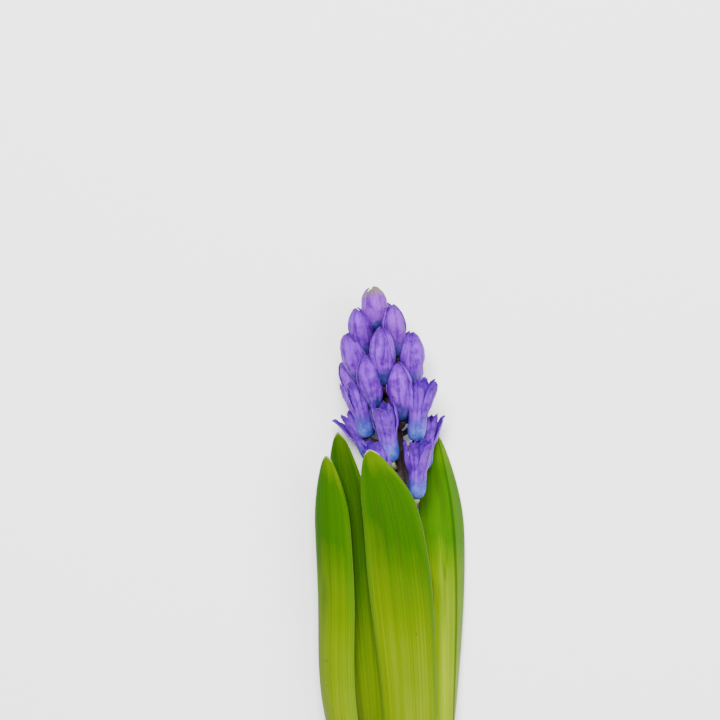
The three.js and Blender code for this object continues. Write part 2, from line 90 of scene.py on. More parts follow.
# A leaf's collar: its roll, wrap and layer. Its form: half width, roll and curl at each point of its line
# Where a leaf has a shade, its colour carries painted shade, and painted light where the shade is below 0
LEAVES = {
    "leaf_front": {
        "collar": (0, 42, 0),
        "line": [(5.2, 50, 23), (4.2, 95, 29.6), (0, 145, 38.4), (-5, 178, 45), (-13, 200.6, 48)],
        "form": [(12.0, 0, 44), (13.6, 3, 42), (15.0, 4, 34), (12.8, 2, 30), (9.0, -4, 36)],
        "keel": 0.1,
    },
    "leaf_left_outer": {
        "collar": (-44, 40, 1),
        "line": [
            (-18.8, 50, 21), (-28.4, 90, 25.4), (-29.2, 140, 28.2), (-30.6, 172, 29), (-31.8, 197.6, 28)],
        "form": [(9.6, -52, 42), (10.6, -40, 38), (10.2, -32, 34), (9.4, -28, 34), (6.8, -24, 38)],
        "keel": 0.25,
    },
    "leaf_left_inner": {
        "collar": (-90, 42, 0),
        "line": [
            (-10.2, 50, 10.2), (-15.6, 90, 14), (-20.6, 140, 15.6), (-23.2, 175, 16), (-26.8, 207.5, 15.2)],
        "form": [(8.6, -66, 36), (10.8, -40, 30), (11.4, -25, 28), (10.6, -20, 28), (7.4, -16, 34)],
        "keel": 0.2, "shade": 0.6,
    },
    "leaf_right": {
        "collar": (90, 42, 0),
        "line": [(19.6, 50, 11), (20.6, 90, 13.4), (21.2, 140, 12), (19.4, 172, 9.2), (15.6, 206.8, 5.6)],
        "form": [(8.0, 68, 44), (10.8, 44, 40), (11.8, 30, 38), (12.0, 22, 36), (8.2, 14, 40)],
        "keel": 0.5, "ridge": 0.32, "shade": -0.5,
    },
    "leaf_under": {
        "collar": (180, 42, 0),
        "line": [(2.6, 50, 0), (0.4, 80, 0), (-1, 120, 0), (-1.4, 150, 0), (-1, 174, 0)],
        "form": [(10.6, 180, 28), (12.2, 180, 24), (12.4, 180, 24), (11.0, 180, 26), (8.0, 180, 30)],
        "keel": 0.0,
    },
}
COLLAR_HEIGHT = 14
LEAF_THICKNESS = 2.2
LEAF_ROW_CROWDING = 1.75
LEAF_ROUND_FROM = 0.8
LEAF_LEAST_HALF_WIDTH = 0.6
KEEL_HEIGHT = 0.35
UNDER_LEAF_PRESS = 1.2
RIDGE_HEIGHT = 0.45
# Shares of a leaf's half width over which its ridge rises and then falls, and how far it falls
RIDGE_RISE = 0.3
RIDGE_FALL = 0.2
RIDGE_END = -0.6

# How finely the pieces are modelled
RING_SIDES = 48
LEAF_ROWS = 40
LEAF_ARC = 42
LEAF_ARC_SIDES = 60
STALK_STEPS = 60
PEDICEL_STEPS = 8


# Numbers
def lerp(start, end, part):
    return start + (end - start) * part


def clamp(value):
    return min(1.0, max(0.0, value))


def grow(value, start, over):
    """How far a value has come past a start, as a share of what it has to cover."""
    return clamp((value - start) / over)


def arch(start, middle, end, part):
    """A point on the curve that leaves the start towards the middle and comes to the end from it."""
    return start * (1 - part) ** 2 + middle * 2 * part * (1 - part) + end * part**2


def between(stops, at):
    """Reads a value from (place, value) stops, straight between them."""
    for (low, before), (high, after) in zip(stops, stops[1:]):
        if at <= high:
            return lerp(before, after, max(0.0, (at - low) / (high - low)))
    return stops[-1][1]


class Draws:
    """The same seeded draws as the solids are laid out with."""

    def __init__(self, seed):
        self.state = seed

    def one(self):
        word = 0xFFFFFFFF
        self.state = (self.state + 0x6D2B79F5) & word
        mixed = ((self.state ^ (self.state >> 15)) * (1 | self.state)) & word
        mixed = ((mixed + (((mixed ^ (mixed >> 7)) * (61 | mixed)) & word)) & word) ^ mixed
        return ((mixed ^ (mixed >> 14)) & word) / 4294967296

    def spread(self, amount):
        return (self.one() - 0.5) * amount


# The plan
def stalk_frame(y):
    """The stalk's middle line at a height, with its directions: along, front (up) and side (right)."""
    low, high = 0.0, 1.0
    for _ in range(30):
        part = (low + high) / 2
        if arch(*STALK_LINE, part).y < y:
            low = part
        else:
            high = part
    start, middle, end = STALK_LINE
    along = ((middle - start) * (1 - low) + (end - middle) * low).normalized()
    front = (Vector((0, 0, 1)) - along * along.z).normalized()
    return arch(*STALK_LINE, low), along, front, along.cross(front).normalized()


def stalk_radius(y):
    base, neck, tip = STALK_RADII
    if y < STALK_NECK_Y:
        return lerp(base, neck, grow(y, 0.0, STALK_NECK_Y))
    return lerp(neck, tip, grow(y, STALK_NECK_Y, STALK_TIP_Y - STALK_NECK_Y))


def lay_florets():
    """Every floret's place, axis and opening, whorl by whorl from the terminal bud down."""
    draws = Draws(SEED)
    rolls = Draws(ROLL_SEED)
    florets = []
    for level, (count, high, dip, reach, leaning, turn, long, girth, opening) in enumerate(WHORLS):
        for i in range(count):
            number = len(florets) + 1
            alone = count == 1
            more_turn, more_at, more_lean, sway = NUDGES.get(number, (0, 0.0, 0, 0))
            around = turn + i * 360 / count + more_turn
            angle = math.radians(around + (0 if alone else draws.spread(TURN_SPREAD)))
            at = high - dip * math.cos(angle) + more_at + (0 if alone else draws.spread(HEIGHT_SPREAD))
            pressed = max(0.0, -math.cos(angle))
            drawn_lean = leaning + (0 if alone else draws.spread(LEAN_SPREAD))
            lean = math.radians(drawn_lean * (1 - PRESSED_LEAN * pressed) + more_lean)
            opened = 0.0
            if opening:
                opened = (opening + draws.spread(OPEN_SPREAD)) * (1 - PRESSED_OPENING * pressed)
            size = 1 + draws.spread(SIZE_SPREAD)
            point, along, front, side = stalk_frame(min(at, STALK_TIP_Y))
            out = front * math.cos(angle) + side * math.sin(angle)
            base = point + along * (at - point.y) + out * reach
            axis = along * math.cos(lean) + out * math.sin(lean)
            axis = (axis + side * math.tan(math.radians(sway))).normalized()
            aside = rolls.one() * 2 - 1
            roll = 0.0 if opened else math.copysign(math.radians(lerp(*BUD_ROLLS, abs(aside))), aside)
            florets.append({
                "number": number, "name": f"floret_{number:02d}", "level": level, "out": out, "base": base,
                "axis": axis, "at": at, "open": opened, "roll": roll, "length": long * size, "girth": girth,
            })
    return florets


def floret_matrix(floret):
    """From a floret modelled upright at the origin, its front towards -Y, to its place on the stalk."""
    up = floret["axis"]
    outward = (floret["out"] - up * floret["out"].dot(up)).normalized()
    right = up.cross(outward)
    basis = Matrix((right, -outward, up)).transposed().to_4x4()
    place = Matrix.Translation((floret["base"] + PLAN_ORIGIN) * MM)
    return place @ basis @ Matrix.Rotation(floret["roll"], 4, "Z")


# Modelling
def deselect():
    bpy.ops.object.select_all(action="DESELECT")


def only(piece):
    """Selects one object and nothing else."""
    deselect()
    piece.select_set(True)
    bpy.context.view_layer.objects.active = piece


def choose(piece, test):
    """Selects the open edges of a mesh in edit mode whose two ends pass a test."""
    shape = bmesh.from_edit_mesh(piece.data)
    for element in (*shape.verts, *shape.edges, *shape.faces):
        element.select = False
    for edge in shape.edges:
        if edge.is_boundary and all(test(vertex.co) for vertex in edge.verts):
            edge.select = True
    shape.select_flush_mode()
    bmesh.update_edit_mesh(piece.data)


def mark(piece, name, value):
    """Writes a number, or a function of a point, on the selected vertices."""
    shape = bmesh.from_edit_mesh(piece.data)
    layer = shape.verts.layers.float.get(name) or shape.verts.layers.float.new(name)
    for vertex in shape.verts:
        if vertex.select:
            vertex[layer] = value(vertex.co) if callable(value) else value


def turn(angle, axis, centre):
    """Turns the selection by the right-hand rule. With no window the operator turns the other way."""
    bpy.ops.transform.rotate(value=-angle, orient_axis=axis, center_override=centre)


def stretch(x, y, z, centre):
    bpy.ops.transform.resize(value=(x, y, z), center_override=centre)


def apply_modifiers(piece):
    only(piece)
    for modifier in list(piece.modifiers):
        bpy.ops.object.modifier_apply(modifier=modifier.name)


def give_wall(piece, thickness):
    """Thickens a sheet inwards and rounds it off."""
    skin = piece.modifiers.new("wall", "SOLIDIFY")
    skin.thickness = thickness
    skin.offset = -1
    round_off = piece.modifiers.new("round", "SUBSURF")
    round_off.levels = round_off.render_levels = 1
    apply_modifiers(piece)


def write_mark(piece, name, values):
    """Writes a number for each point, or one for them all, which the piece's finish reads."""
    if not isinstance(values, list):
        values = [values] * len(piece.data.vertices)
    piece.data.attributes.new(name, "FLOAT", "POINT").data.foreach_set("value", values)


def read_mark(piece, name):
    return [item.value for item in piece.data.attributes[name].data]


def hand_over(piece, name, material, matrix, node):
    """Names a piece, gives it its finish, moves its mesh into place and hands it to the frame."""
    piece.name = name
    piece.data.materials.append(material)
    piece.matrix_world = matrix
    only(piece)
    bpy.ops.object.transform_apply(location=True, rotation=True, scale=True)
    bpy.ops.object.shade_smooth()
    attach(piece, "root")
    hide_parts(node)


# Finishes
class Flow:
    """A value in a material, worked on like a number."""

    def __init__(self, finish, socket):
        self.finish = finish
        self.socket = socket

    def _sum(self, operation, first, second=0.0):
        return self.finish.node("ShaderNodeMath", {"operation": operation}, {0: first, 1: second})

    def __add__(self, other):
        return self._sum("ADD", self, other)

    def __sub__(self, other):
        return self._sum("SUBTRACT", self, other)

    def __rsub__(self, other):
        return self._sum("SUBTRACT", other, self)

    def __mul__(self, other):
        return self._sum("MULTIPLY", self, other)

    def __abs__(self):
        return self._sum("ABSOLUTE", self)

    __radd__ = __add__
    __rmul__ = __mul__

    def rise(self, low, high):
        """0 below low, 1 above high, smooth between."""
        return self.finish.node(
            "ShaderNodeMapRange", {"interpolation_type": "SMOOTHSTEP", "clamp": True},
            {"Value": self, "From Min": low, "From Max": high})


class Finish:
    """A material with one surface shader, built by code."""

    def __init__(self, name, **constants):
        self.material = bpy.data.materials.new(name)
        self.material.use_nodes = True
        self.tree = self.material.node_tree
        self.shader = self.tree.nodes["Principled BSDF"]
        for socket, value in constants.items():
            self.shader.inputs[socket.replace("_", " ")].default_value = value

    def node(self, kind, settings=None, inputs=None, output=0):
        """Adds any node: its settings, then values or flows for its sockets."""
        added = self.tree.nodes.new(kind)
        for name, value in (settings or {}).items():
            if name == "stops":
                while len(added.color_ramp.elements) < len(value):
                    added.color_ramp.elements.new(1.0)
                for element, (place, color) in zip(added.color_ramp.elements, value):
                    element.position = place
                    element.color = (*color, 1.0)
            else:
                setattr(added, name, value)
        for socket, value in (inputs or {}).items():
            if isinstance(value, Flow):
                self.tree.links.new(value.socket, added.inputs[socket])
            else:
                added.inputs[socket].default_value = value
        return Flow(self, added.outputs[output])

    def feed(self, socket, flow):
        self.tree.links.new(flow.socket, self.shader.inputs[socket])

    def mark(self, name):
        return self.node("ShaderNodeAttribute", {"attribute_name": name}, output="Fac")

    def marks(self, *names):
        return [self.mark(name) for name in names]

    def place(self, x=0.0, y=0.0, z=0.0):
        return self.node("ShaderNodeCombineXYZ", {}, {0: x, 1: y, 2: z})

    def noise(self, vector, scale, detail, roughness):
        inputs = {"Vector": vector, "Scale": scale, "Detail": detail, "Roughness": roughness}
        return self.node("ShaderNodeTexNoise", {}, inputs)

    def mix(self, factor, first, second, blend="MIX"):
        colors = [color if isinstance(color, Flow) else (*color, 1.0) for color in (first, second)]
        return self.node(
            "ShaderNodeMix", {"data_type": "RGBA", "blend_type": blend},
            {0: factor, 6: colors[0], 7: colors[1]}, output=2)

    def paint(self, ground, *layers):
        """Lays colours over a ground, each as far as its mask goes. A layer may name another blend."""
        for mask, *layer in layers:
            ground = self.mix(mask, ground, *layer)
        return ground

    def relief(self, height, depth):
        """Raises the surface by a height flow of 0 to 1, depth in metres."""
        self.feed("Normal", self.node(
            "ShaderNodeBump", {}, {"Height": height, "Distance": depth, "Strength": 1.0}, output="Normal"))


# Colours of the finishes that no setting changes. A shade multiplies what lies under it
PETAL_GLINT = (0.3, 0.12, 0.7)
PETAL_BLEMISH = (0.13, 0.12, 0.02)
PETAL_INSIDE = (0.036, 0.002, 0.2)
PETAL_GAP_SHADE = (0.3, 0.24, 0.34)
PETAL_FOOT_SHADE = (0.12, 0.2, 0.26)
LEAF_FOOT = (0.42, 0.43, 0.2)
LEAF_SHEATH = (0.26, 0.31, 0.03)
# Painted shade for a shaded leaf, and painted light for a leaf whose shade is below 0
LEAF_INNER_SHADE = (0.34, 0.5, 0.2)
LEAF_PAINTED_LIGHT = (1.9, 1.75, 1.2)
LEAF_DUSK = (0.024, 0.062, 0.004)
LEAF_VEIN_SHADE = (0.5, 0.66, 0.5)
LEAF_FURROW_SHADE = (1.5, 1.3, 1.2)
LEAF_MARGIN = (0.045, 0.115, 0.004)
LEAF_RIM = (0.15, 0.24, 0.03)
LEAF_FOLD_SHADOW = (0.012, 0.045, 0.002)
LEAF_FOLD = (0.06, 0.14, 0.003)
LEAF_TIP = (0.42, 0.44, 0.28)
LEAF_SPECK = (0.05, 0.035, 0.012)
LEAF_CUT = (0.36, 0.4, 0.16)
STALK_STREAK = (0.032, 0.017, 0.018)
STALK_DOT = (0.075, 0.05, 0.045)
STALK_FOOT = (0.2, 0.25, 0.05)
STALK_PAINTED_SHADE = (0.006, 0.003, 0.004)
STALK_CUT = (0.3, 0.34, 0.13)
STALK_PORE = (0.12, 0.17, 0.03)


def petal_finish(name, look, body, light, rib_strength, tube_shade, tip_from, tube_share, foot_shade):
    """Satin tepals: blue at the tube, lilac in the middle, violet towards the margins and the tips. The
    lilac is partly painted highlight, and painted shade lies in the grooves, at the seams and in the gaps
    among the florets.
    """
    finish = Finish(name, Roughness=0.5, Specular_IOR_Level=0.3, Specular_Tint=(0.45, 0.12, 1.0, 1.0),
                    Subsurface_Weight=0.1, Subsurface_Scale=0.0015, Subsurface_Radius=(0.6, 0.3, 1.0))
    deep, pink = look.deep_color, look.pink_color
    along, across, kind, lobe = finish.marks("along", "across", "kind", "lobe")
    coords = finish.node("ShaderNodeTexCoord", output="Object")
    drawn = finish.node("ShaderNodeMapping", {}, {"Vector": coords, "Scale": (1.0, 0.12, 1.0)})
    patches = finish.noise(coords, 240.0, 3.0, 0.6)
    grain = finish.noise(coords, 1500.0, 3.0, 0.65)
    hairs = finish.noise(drawn, 1100.0, 3.0, 0.65)
    strands = finish.noise(finish.place(across * 15.0, along * 1.8, kind * 31.0), 1.0, 3.0, 0.6)

    flank = across.rise(0.02, 0.3) * (1 - across.rise(0.45, 0.95))
    # Lilac on the tepals' flanks and on the crests of their strands: partly their own lilac, partly painted
    # highlight
    lilac_and_highlight = (flank * 0.3 + patches * 1.2 + strands * 0.5 - 0.62) * (1 - along.rise(0.78, 1.0) * 0.7)
    rib = (1 - across.rise(0.01, 0.17)) * along.rise(0.25, 0.5) * (strands * 2.0 - 0.25) * rib_strength
    rib = rib * (0.4 + lobe * 1.2)
    margin = across.rise(0.72, 1.0) * along.rise(0.42, 0.55)
    reach = look.tube_until * tube_share
    tube = 1 - (along + patches * 0.36 + strands * 0.2 - 0.28).rise(reach * 0.3, reach * 1.1)
    blue, pale_blue = (
        tuple(part * tube_shade for part in shade) for shade in (look.tube_color, look.tube_light_color))
    blemish = finish.noise(coords, 800.0, 2.0, 0.5).rise(0.4, 0.5)
    blemish = blemish * (1 - kind.rise(0.04, 0.1)) * along.rise(0.74, 0.9)
    gap = (1 - finish.mark("clear")) * (1 - along.rise(0.45, 0.8))
    foot = 1 - (along + patches * 0.1 - 0.05).rise(0.02, 0.22)
    finish.feed("Base Color", finish.paint(
        body,
        (lilac_and_highlight.rise(0.05, 0.85) * 0.85, light),
        ((1 - kind.rise(0.0, 0.24)) * 0.7 + patches.rise(0.5, 0.68) * 0.34, pink),
        (lobe.rise(0.55, 1.0) * 0.35, pink),
        ((1 - lobe.rise(0.0, 0.45)) * 0.35, body),
        (rib, deep),
        # Darker violet in the grooves of the strands and hairs, and lilac on the hairs' crests: partly their
        # own streaks, partly painted shade and painted highlight
        ((1 - strands.rise(0.28, 0.5)) * 0.22, deep),
        ((1 - patches.rise(0.34, 0.52)) * 0.45, deep),
        ((1 - hairs.rise(0.36, 0.52)) * 0.3, deep),
        (hairs.rise(0.54, 0.68) * 0.25, light),
        # Inner tepals darker at their margins, where they lie under the outer ones: partly violet margins,
        # partly painted shade at the seams
        (margin * (1 - lobe.rise(0.3, 0.6)) * 0.6, deep),
        (margin * lobe.rise(0.4, 0.7) * 0.4, light),
        (along.rise(tip_from, 1.0) * 0.75, finish.mix(0.6, body, deep)),
        (tube * 0.92, finish.mix(patches.rise(0.4, 0.7), blue, pale_blue)),
        (grain.rise(0.56, 0.74) * 0.26, PETAL_GLINT),
        (blemish * 0.85, PETAL_BLEMISH),
        (gap * 0.9, PETAL_GAP_SHADE, "MULTIPLY"),
        (finish.mark("inner") * along.rise(0.45, 0.6) * 0.6, PETAL_INSIDE),
        (foot * foot_shade, PETAL_FOOT_SHADE, "MULTIPLY")))
    finish.feed("Roughness", 0.42 + patches * 0.2)
    finish.relief(strands * 0.7 + hairs * 0.3 + grain * 0.35 - rib * 0.5, 0.00028)
    return finish.material


def leaf_finish(name, look):
    """A waxy strap leaf: yellow-green below, deeper green above, with fine veins and a pale rim and tip. A
    leaf with a shade gets painted shade, one with a shade below 0 painted light, and a folded margin a
    painted shadow line.
    """
    finish = Finish(name, Roughness=0.5, Specular_IOR_Level=0.05, Specular_Tint=(0.75, 1.0, 0.0, 1.0),
                    Subsurface_Weight=0.06, Subsurface_Scale=0.003, Subsurface_Radius=(0.5, 1.0, 0.1))
    low, high = look.low_color, look.high_color
    halfway = tuple(lerp(*pair, 0.42) for pair in zip(high, low))
    along, across, kind, shade, folded = finish.marks("along", "across", "kind", "shade", "folded")
    coords = finish.node("ShaderNodeTexCoord", output="Object")
    cloud = finish.noise(coords, 26.0, 3.0, 0.5)
    veins = finish.noise(finish.place(across * 27.0, along * 1.2, kind * 17.0), 1.0, 2.0, 0.5)
    bands = finish.noise(finish.place(across * 2.2, along * 1.1, kind * 29.0), 1.0, 2.0, 0.5)
    clouds = finish.noise(finish.place(across * 2.6, along * 4.0, kind * 41.0), 1.0, 3.0, 0.55)

    # A leaf's shade above 0 brings the deep green nearer the base and darkens the colour as painted shade;
    # below 0 it moves the deep green towards the tip and lightens the colour as painted light
    height = (along + (cloud - 0.5) * 0.14 + (bands - 0.5) * 0.2 + across * 0.04
              + shade * (1 - along.rise(0.75, 0.88)) * 0.1)
    shaded = shade * (1.5 - along.rise(0.35, 0.6) * 1.3 + along.rise(0.68, 0.82) * 0.9)
    dusk = clouds.rise(0.5, 0.68) * along.rise(0.55, 0.72) * (1 - along.rise(0.9, 0.99))
    flank = abs(across)
    # A thin line of painted shadow just inside the crest of a folded margin
    fold_shadow = (1 - abs(across - 0.24).rise(0.02, 0.09)) * folded
    tip = (along + flank * flank * 0.02).rise(0.992, 1.012)
    stops = [(0.0, LEAF_FOOT), (0.1, LEAF_SHEATH), (0.3, low), (0.5, low), (0.65, halfway), (0.75, high),
             (0.93, high), (1.0, halfway)]
    finish.feed("Base Color", finish.paint(
        finish.node("ShaderNodeValToRGB", {"stops": stops}, {"Fac": height}),
        (shaded, LEAF_INNER_SHADE, "MULTIPLY"),
        (shade * -1.0, LEAF_PAINTED_LIGHT, "MULTIPLY"),
        (dusk * 0.7, LEAF_DUSK),
        (veins.rise(0.42, 0.62) * 0.45, LEAF_VEIN_SHADE, "MULTIPLY"),
        ((1 - veins.rise(0.3, 0.42)) * 0.2, LEAF_FURROW_SHADE, "MULTIPLY"),
        (flank.rise(0.62, 0.95) * 0.45, LEAF_MARGIN),
        (flank.rise(0.96, 0.99) * 0.35, LEAF_RIM),
        (fold_shadow * 0.75, LEAF_FOLD_SHADOW),
        (folded * across.rise(0.29, 0.32) * 0.3, LEAF_FOLD),
        (tip * 0.85, LEAF_TIP),
        (finish.noise(coords, 260.0, 1.0, 0.4).rise(0.78, 0.81) * 0.6, LEAF_SPECK),
        (1 - along.rise(0.0, 0.004), LEAF_CUT)))
    finish.feed("Roughness", 0.42 + bands * 0.14 + veins * 0.06)
    finish.relief(veins * 0.5 + cloud * 0.3, 0.0003)
    return finish.material


def stalk_finish(name, look):
    """Dark purple-brown skin with fine lengthwise streaks, darker still among the florets as painted shade;
    the lower floret stems pale towards their ends.
    """
    finish = Finish(name, Roughness=0.55, Specular_IOR_Level=0.12)
    along, around, pale = finish.marks("along", "around", "pale")
    coords = finish.node("ShaderNodeTexCoord", output="Object")
    streaks = finish.noise(finish.place(around * 9.0, along * 6.0), 1.0, 3.0, 0.6)
    dots = finish.noise(coords, 900.0, 2.0, 0.5)
    pores = finish.noise(coords, 1300.0, 1.0, 0.4)
    finish.feed("Base Color", finish.paint(
        look.skin_color,
        (streaks.rise(0.4, 0.66) * 0.7, STALK_STREAK),
        (dots.rise(0.6, 0.7) * 0.4, STALK_DOT),
        (1 - along.rise(0.15, 0.5), STALK_FOOT),
        # Painted shade on the upper stalk, among the florets
        (along.rise(0.7, 0.8) * 0.6, STALK_PAINTED_SHADE),
        (pale, look.stem_color),
        (1 - along.rise(0.0, 0.003), finish.mix(pores.rise(0.52, 0.62), STALK_CUT, STALK_PORE))))
    finish.relief(streaks * 0.5 + dots * 0.4, 0.0002)
    return finish.material


# Florets
TEPALS = 6
SIXTH = math.tau / TEPALS
TUBE_BUD = [(0.0, 0.3), (0.03, 0.36), (0.07, 0.43), (0.13, 0.52), (0.2, 0.63), (0.3, 0.78), (0.4, 0.9)]
BUD_PROFILE = [
    (0.4, 0.9), (0.46, 0.97), (0.52, 1.0), (0.59, 0.99), (0.66, 0.96), (0.73, 0.9), (0.8, 0.8),
    (0.86, 0.67), (0.91, 0.53), (0.95, 0.38), (0.98, 0.24), (1.0, 0.11),
]
OUTER_WRAP = [(0.4, 30), (0.48, 38), (0.58, 45), (0.72, 50), (0.86, 53), (0.95, 48), (1.0, 34)]
INNER_WRAP = [(0.4, 30), (0.5, 33), (0.6, 38), (0.8, 42), (1.0, 34)]
TUBE_BLOOM = [(0.0, 0.5), (0.02, 0.68), (0.06, 0.84), (0.16, 1.0), (0.3, 0.94), (0.42, 1.0)]
TUBE_DIVIDES_AT = 0.42
TEPAL_STATIONS = [0.1, 0.24, 0.38, 0.52, 0.66, 0.78, 0.88, 0.95, 1.0]
TEPAL_WIDTHS = [
    (0.0, 0.62), (0.24, 0.84), (0.5, 0.93), (0.68, 0.86), (0.8, 0.73), (0.9, 0.52), (0.96, 0.33),
    (1.0, 0.13),
]
TEPAL_HALF_WIDTHS = (0.142, 0.118)
TEPAL_LAYER = 0.75
TEPAL_TONES = ((0.35, 1), (0, 0.45))
STALK_SIDE_OPENING = 0.12
INNER_OPENING = 0.7
PATH_STEPS = 64
# Degrees by which an opening tepal swells out of the tube, closes in again and spreads when fully open
TEPAL_SWELL = 17
TEPAL_CLOSE = 52
TEPAL_SPREAD = 150
# A shut bud, in millimetres: how far its outer and inner tepals lie off its outline, and its least radius
BUD_LAYERS = (0.15, -0.6)
BUD_LEAST_RADIUS = 0.3
BUD_TIPS_FROM = 0.7
TOP_BUD_BLUNTNESS = 0.16
# How far tips crumple, in millimetres
BUD_CRUMPLING = 0.12
BLOOM_CRUMPLING = 0.75
# The uneven skin of a tepal, in millimetres
WAVE_LENGTHS = (3.2, 1.3)
WAVE_HEIGHT = 0.16
GROOVE_DEPTH = 0.132
CRUMPLE_LENGTH = 1.9
# Millimetres from the stalk's middle between which the shade among the florets gives way to light
GAP_FROM = 8.0
GAP_OVER = 8.0
KIND_STEP = 0.12

TepalRow = namedtuple("TepalRow", "radius height tilt half sag place drift twist")


def tepal_row(radius, height, tilt, half, sag, place, drift=0.0, twist=0.0):
    """A row of a tepal, from millimetres to metres."""
    return TepalRow(radius * MM, height * MM, tilt, half * MM, sag * MM, place, drift * MM, twist)


def bud_rows(floret, tepal, chance):
    """A shut tepal: it follows the bud's swelling and wraps round it."""
    length = floret["length"]
    half_girth = floret["girth"] / 2
    outer = tepal % 2 == 0
    loose = chance.uniform(-0.1, 0.5) + PARTING_BUDS.get(floret["number"], 0.0)
    longer = chance.uniform(-0.6, 0.4)
    rows = []
    for place, width in BUD_PROFILE[1:]:
        high = max(0.0, (place - BUD_TIPS_FROM) / (1 - BUD_TIPS_FROM))
        layer = BUD_LAYERS[0] + loose * high if outer else BUD_LAYERS[1]
        layer *= grow(place, BUD_PROFILE[0][0], 0.1)
        if floret["level"] == 0:
            width += TOP_BUD_BLUNTNESS * high * (1.25 - high)
        radius = max(half_girth * width + layer, BUD_LEAST_RADIUS)
        step = 0.01
        slope = (between(BUD_PROFILE, place + step) - between(BUD_PROFILE, place - step)) * half_girth
        tilt = math.atan2(slope, 2 * step * length)
        wrap = math.radians(between(OUTER_WRAP if outer else INNER_WRAP, place))
        height = place * length + (longer if outer else BUD_LAYERS[1]) * high
        sag = radius * (1 - math.cos(wrap))
        rows.append(tepal_row(radius, height, tilt, radius * math.sin(wrap), sag, place))
    return rows


def bloom_rows(floret, tepal, chance):
    """An opening tepal: it swells out of the tube, and its upper half curves outwards."""
    drift = chance.uniform(-1.2, 1.2)
    twist = math.radians(chance.uniform(-22, 22))
    curl = chance.uniform(-25, 40)
    outer = tepal % 2 == 0
    length = floret["length"] * (1 - TUBE_DIVIDES_AT)
    faces = (1 + math.cos(math.tau * tepal / TEPALS)) / 2
    opening = floret["open"] * lerp(STALK_SIDE_OPENING, 1, faces) * (1 if outer else INNER_OPENING)
    rows = []
    for at in TEPAL_STATIONS:
        radius = floret["girth"] * 0.48 + (TEPAL_LAYER if outer else -TEPAL_LAYER) * grow(at, 0.0, 0.24)
        height = floret["length"] * TUBE_DIVIDES_AT
        tilt = 0.0
        for step in range(round(PATH_STEPS * at)):
            done = (step + 0.5) / PATH_STEPS
            spread = opening * TEPAL_SPREAD * done**2
            tilt = math.radians(TEPAL_SWELL - TEPAL_CLOSE * done**1.6 + spread + curl * done**5)
            radius += math.sin(tilt) * length / PATH_STEPS
            height += math.cos(tilt) * length / PATH_STEPS
        half = floret["length"] * TEPAL_HALF_WIDTHS[tepal % 2] * between(TEPAL_WIDTHS, at)
        sag = half * lerp(0.5, 0.22, at * min(1.0, opening * 2.4))
        place = lerp(TUBE_DIVIDES_AT, 1, at)
        rows.append(tepal_row(radius, height, tilt, half, sag, place, drift * at**2, twist * at**2))
    return rows


def off_rib(point):
    """How far round a floret a point lies from a midrib: 0 on it, 1 halfway to the next."""
    from_rib = (math.atan2(point.x, -point.y) + SIXTH / 2) % SIXTH - SIXTH / 2
    return abs(from_rib) / (SIXTH / 2)


def model_tube(profile, half_girth, length):
    """A disc drawn up into a tube, ring by ring. It stays in edit mode."""
    radius = half_girth * profile[0][1]
    deselect()
    bpy.ops.mesh.primitive_circle_add(vertices=RING_SIDES, radius=radius, fill_type="TRIFAN")
    piece = bpy.context.active_object
    bpy.ops.object.mode_set(mode="EDIT")
    bpy.context.tool_settings.mesh_select_mode = (False, True, False)
    bpy.ops.mesh.flip_normals()
    mark(piece, "along", 0.0)
    mark(piece, "lobe", 0.5)
    mark(piece, "across", off_rib)
    choose(piece, lambda point: point.xy.length > radius / 2)
    for (below, before), (place, width) in zip(profile, profile[1:]):
        bpy.ops.mesh.extrude_edges_move(TRANSFORM_OT_translate={"value": (0, 0, (place - below) * length)})
        stretch(width / before, width / before, 1, (0, 0, place * length))
        mark(piece, "along", place)
    return piece


def draw_tepal(piece, rim, rows, tone):
    """Draws a tepal out of the front of a tube's rim, row by row."""
    near = rim.radius * 0.05
    reach = math.radians(180 / TEPALS + 1)
    choose(piece, lambda point: abs(point.z - rim.height) < near * 0.1
           and abs(point.xy.length - rim.radius) < near
           and abs(math.atan2(point.x, -point.y)) < reach)
    last = rim
    for row in rows:
        apex = (last.drift, -last.radius, last.height)
        bpy.ops.mesh.extrude_edges_move()
        turn(-last.twist, "Z", apex)
        turn(-last.tilt, "X", apex)
        stretch(row.half / last.half, row.sag / last.sag, 1, apex)
        turn(row.tilt, "X", apex)
        turn(row.twist, "Z", apex)
        move = (row.drift - last.drift, last.radius - row.radius, row.height - last.height)
        bpy.ops.transform.translate(value=move)
        mark(piece, "along", row.place)
        mark(piece, "lobe", tone)
        last = row


def model_floret(floret, profile, rows_of, chance):
    """A tube with six tepals. Each is drawn at the front, and then the floret is turned by a sixth."""
    half_girth = floret["girth"] / 2 * MM
    length = floret["length"] * MM
    piece = model_tube(profile, half_girth, length)
    place, width = profile[-1]
    radius = half_girth * width
    sag = radius * (1 - math.cos(SIXTH / 2))
    rim = TepalRow(radius, place * length, 0.0, radius * math.sin(SIXTH / 2), sag, place, 0.0, 0.0)
    for tepal in range(TEPALS):
        tone = chance.uniform(*TEPAL_TONES[tepal % 2])
        draw_tepal(piece, rim, rows_of(floret, tepal, chance), tone)
        bpy.ops.mesh.select_all(action="SELECT")
        turn(-SIXTH, "Z", (0, 0, 0))
    bpy.ops.mesh.normals_make_consistent(inside=False)
    foot = min(bmesh.from_edit_mesh(piece.data).faces, key=lambda face: face.calc_center_median().z)
    if foot.normal.z > 0:
        bpy.ops.mesh.flip_normals()
    bpy.ops.object.mode_set(mode="OBJECT")
    return piece


